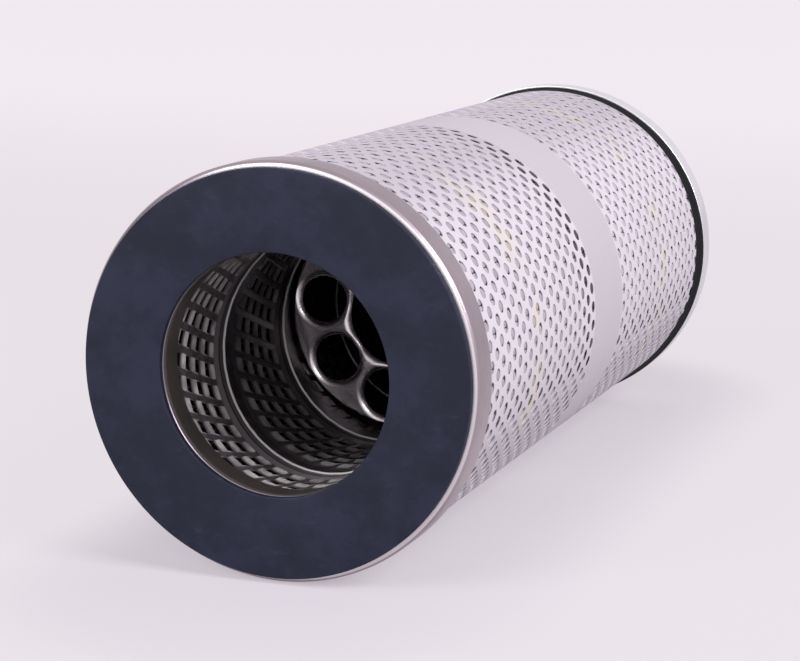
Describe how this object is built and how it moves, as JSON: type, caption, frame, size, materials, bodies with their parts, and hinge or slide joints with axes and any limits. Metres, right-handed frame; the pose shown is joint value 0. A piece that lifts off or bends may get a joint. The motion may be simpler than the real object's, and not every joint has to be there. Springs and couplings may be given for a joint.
{
  "type": "pleated filter element",
  "caption": "Round pleated filter element with a perforated shroud, pressed end caps, a flat gasket at the open end and a louvred core with a holed baffle.",
  "frame": {"origin": "centre of the rear end cap's underside, on the surface that the element stands on", "axes": "+Z along the element's axis, from the rear cap up to the open mouth and its gasket; +X and +Y across"},
  "size_m": [0.15, 0.15, 0.346],
  "materials": {
    "gasket_rubber": "matte, slightly mottled",
    "cap_steel": "satin, tin-plated",
    "potting": "matt",
    "hot_melt": "waxy",
    "shroud_steel": "satin",
    "media": "matt",
    "core_steel": "satin",
    "baffle_steel": "bright pressed",
    "sealant": "semi-gloss"
  },
  "bodies": {
    "root": {"front_gasket": "gasket_rubber", "front_end_cap": "cap_steel", "front_potting": "potting", "front_glue_band": "hot_melt", "outer_shroud": "shroud_steel", "pleated_media": "media", "inner_core": "core_steel", "baffle_plate": "baffle_steel", "rear_glue_band": "hot_melt", "rear_potting": "potting", "rear_sealant": "sealant", "rear_end_cap": "cap_steel"}
  },
  "joints": []
}
